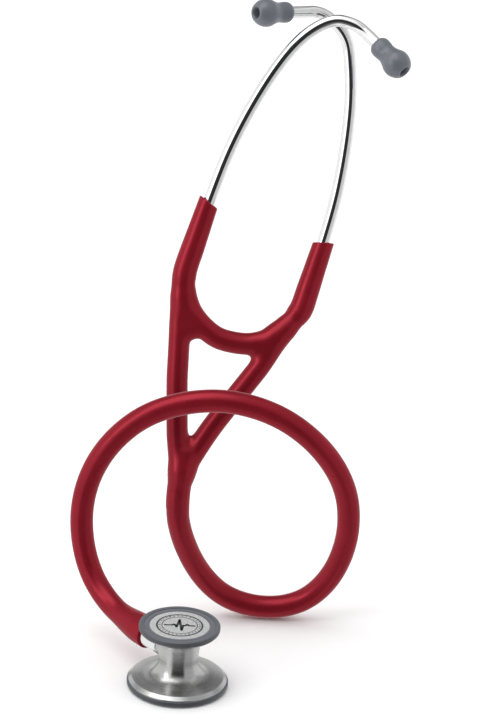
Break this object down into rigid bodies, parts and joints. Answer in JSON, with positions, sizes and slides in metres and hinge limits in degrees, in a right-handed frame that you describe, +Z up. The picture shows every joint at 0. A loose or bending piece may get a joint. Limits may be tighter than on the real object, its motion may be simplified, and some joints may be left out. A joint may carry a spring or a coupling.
{
  "type": "stethoscope",
  "caption": "Acoustic stethoscope with a two-sided turning chestpiece, a looped hose, a sprung yoke, crossed bent ear tubes and soft ear tips.",
  "frame": {"origin": "centre of the chestpiece's lower rim, on the surface it stands on", "axes": "+Z up, -Y to the front, +X to the right seen from the front"},
  "size_m": [0.1445, 0.1654, 0.2836],
  "materials": {
    "steel_body": "satin",
    "steel_polished": "polished",
    "spring_steel": "satin",
    "rim_rubber": "matt",
    "seal_rubber": "matt",
    "diaphragm_resin": "smooth",
    "badge_metal": "satin",
    "burgundy_vinyl": "glossy",
    "tube_metal": "polished",
    "eartip_silicone": "matt"
  },
  "bodies": {
    "headset_and_hose": {"yoke_body": "burgundy_vinyl", "leaf_spring": "spring_steel", "acoustic_hose": "burgundy_vinyl", "hose_cuff": "burgundy_vinyl", "stem": "steel_polished", "stem_o_ring": "seal_rubber"},
    "chestpiece": {"chestpiece_body": "steel_body", "adult_rim": "rim_rubber", "adult_surround": "rim_rubber", "child_rim": "rim_rubber", "child_surround": "rim_rubber", "detent_ball": "spring_steel", "detent_spring": "spring_steel", "detent_screw": "spring_steel"},
    "adult_membrane": {"adult_diaphragm": "diaphragm_resin"},
    "child_membrane": {"child_diaphragm": "diaphragm_resin", "child_badge": "badge_metal"},
    "arm_left": {"arm_sleeve_left": "burgundy_vinyl", "eartube_left": "tube_metal", "eartip_ferrule_left": "steel_polished"},
    "arm_right": {"arm_sleeve_right": "burgundy_vinyl", "eartube_right": "tube_metal", "eartip_ferrule_right": "steel_polished"},
    "eartip_left": {"eartip_left": "eartip_silicone"},
    "eartip_right": {"eartip_right": "eartip_silicone"}
  },
  "joints": [
    {"name": "chestpiece_turn", "type": "hinge", "parent": "headset_and_hose", "child": "chestpiece", "pos_m": [0, 0, 0.016], "axis": [-0.6428, 0.766, 0], "continuous": true},
    {"name": "adult_diaphragm_press", "type": "slide", "parent": "chestpiece", "child": "adult_membrane", "axis": [0, 0, 1], "range_m": [0, 0.00035], "stiffness_N_per_m": 8000},
    {"name": "child_diaphragm_press", "type": "slide", "parent": "chestpiece", "child": "child_membrane", "axis": [0, 0, -1], "range_m": [0, 0.00025], "stiffness_N_per_m": 8000},
    {"name": "arm_left_spread", "type": "hinge", "parent": "headset_and_hose", "child": "arm_left", "pos_m": [-0.00667, 0.08605, 0.1562], "axis": [0.2969, -0.923, 0.2448], "range_deg": [0, 40], "stiffness_Nm_per_rad": 1.5},
    {"name": "arm_right_spread", "type": "hinge", "parent": "headset_and_hose", "child": "arm_right", "pos_m": [0.04283, 0.08625, 0.14092], "axis": [-0.2969, 0.923, -0.2448], "range_deg": [0, 40], "stiffness_Nm_per_rad": 1.5},
    {"name": "eartip_left_pull", "type": "slide", "parent": "arm_left", "child": "eartip_left", "axis": [0.6622, -0.5743, -0.4813], "range_m": [0, 0.012]},
    {"name": "eartip_right_pull", "type": "slide", "parent": "arm_right", "child": "eartip_right", "axis": [-0.8042, -0.5853, 0.1037], "range_m": [0, 0.012]}
  ],
  "couplings": [
    {"joint": "arm_right_spread", "follows": "arm_left_spread", "ratio": 1}
  ]
}
